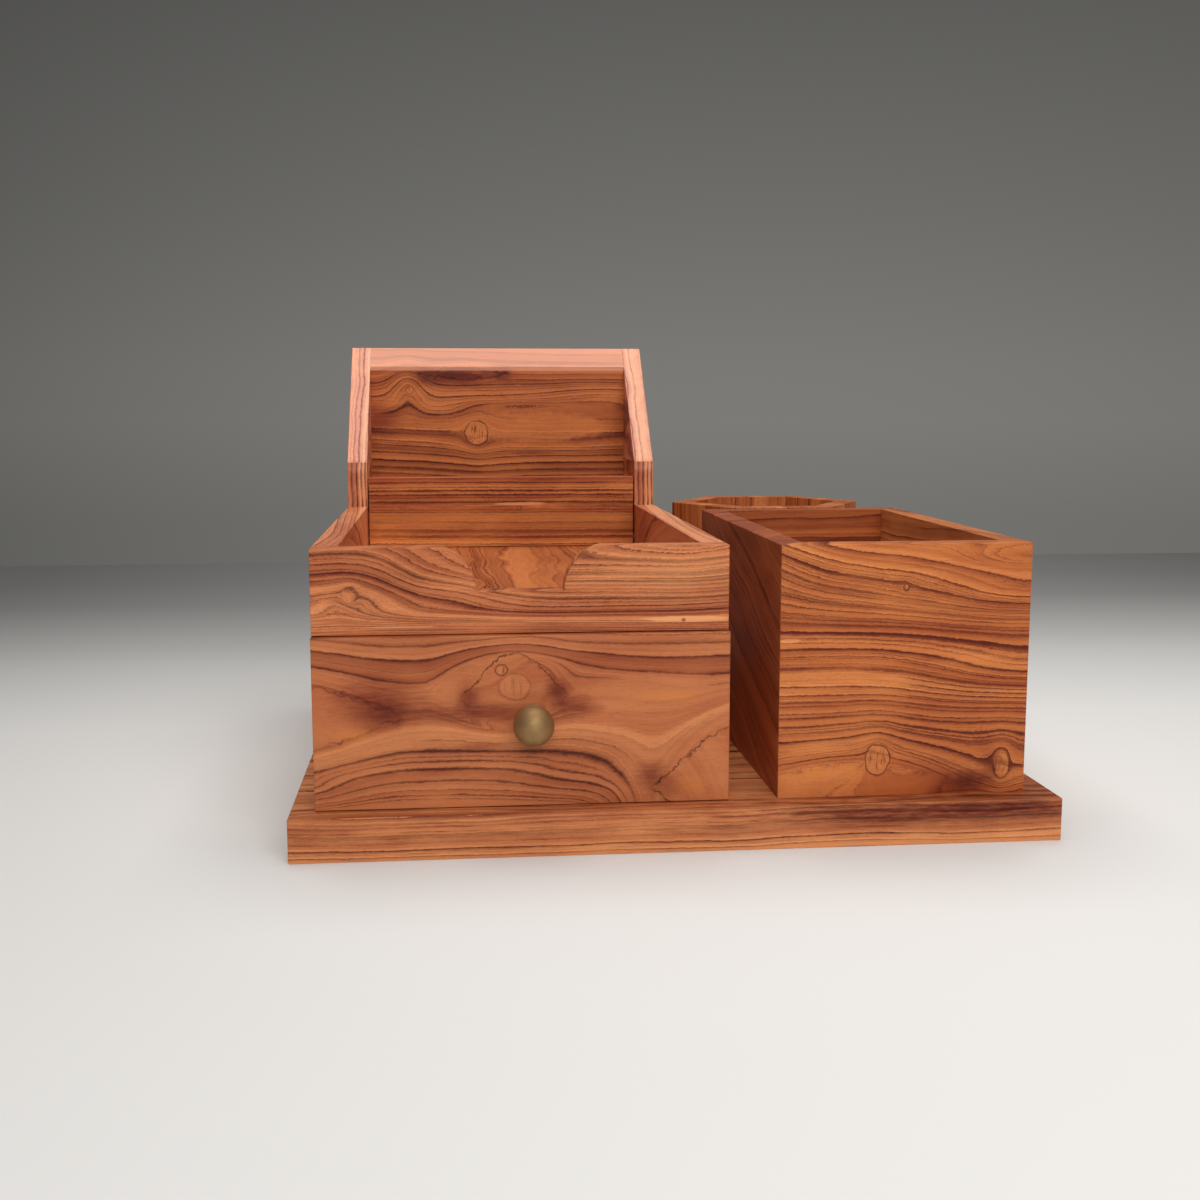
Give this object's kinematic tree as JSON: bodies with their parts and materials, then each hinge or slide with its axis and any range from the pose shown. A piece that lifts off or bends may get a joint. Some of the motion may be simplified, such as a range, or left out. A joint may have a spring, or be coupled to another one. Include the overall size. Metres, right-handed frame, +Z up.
{
  "type": "desk organizer",
  "caption": "Wooden desk organizer: drawer cabinet with a note tray and a letter slot behind a folding flap, an open box and a six-sided pen cup on a thick base board.",
  "frame": {"origin": "centre of the base board's underside", "axes": "+X to the right as seen from the drawer's side, +Y to the back, +Z up"},
  "size_m": [0.3, 0.3067, 0.2],
  "materials": {
    "figured_wood": "satin oil",
    "drawer_wood": "bare, sanded",
    "panel_wood": "bare plywood",
    "peg_wood": "bare",
    "aged_brass": "aged, lacquered",
    "zinc_steel": "zinc plated"
  },
  "bodies": {
    "case": {"base_board": "figured_wood", "cabinet_left_side": "figured_wood", "cabinet_right_side": "figured_wood", "cabinet_left_gable": "figured_wood", "cabinet_right_gable": "figured_wood", "cabinet_back_panel": "figured_wood", "tray_floor": "figured_wood", "tray_front": "figured_wood", "back_panel_tenons": "peg_wood", "tray_front_tenons": "peg_wood", "cabinet_tenons": "peg_wood", "flap_pin_left": "aged_brass", "flap_pin_right": "aged_brass", "flap_stop_left": "drawer_wood", "flap_stop_right": "drawer_wood", "drawer_runner_left": "drawer_wood", "drawer_runner_right": "drawer_wood", "drawer_stop": "drawer_wood", "drawer_stop_screw": "zinc_steel", "box_front": "figured_wood", "box_right_side": "figured_wood", "box_back": "figured_wood", "box_left_side": "figured_wood", "box_bottom": "panel_wood", "box_splines": "peg_wood", "box_tenons": "peg_wood", "cup_stave_1": "figured_wood", "cup_stave_2": "figured_wood", "cup_stave_3": "figured_wood", "cup_stave_4": "figured_wood", "cup_stave_5": "figured_wood", "cup_stave_6": "figured_wood", "cup_bottom": "panel_wood", "cup_tenons": "peg_wood"},
    "flap": {"lift_flap": "figured_wood"},
    "drawer": {"drawer_front": "figured_wood", "drawer_left_side": "drawer_wood", "drawer_right_side": "drawer_wood", "drawer_back": "drawer_wood", "drawer_bottom": "panel_wood", "knob": "aged_brass", "knob_rose": "aged_brass", "knob_screw": "zinc_steel"}
  },
  "joints": [
    {"name": "flap_hinge", "type": "hinge", "parent": "case", "child": "flap", "pos_m": [-0.0609, 0.0825, 0.0995], "axis": [1, 0, 0], "range_deg": [0, 90]},
    {"name": "drawer_slide", "type": "slide", "parent": "case", "child": "drawer", "axis": [0, -1, 0], "range_m": [0, 0.165]}
  ]
}
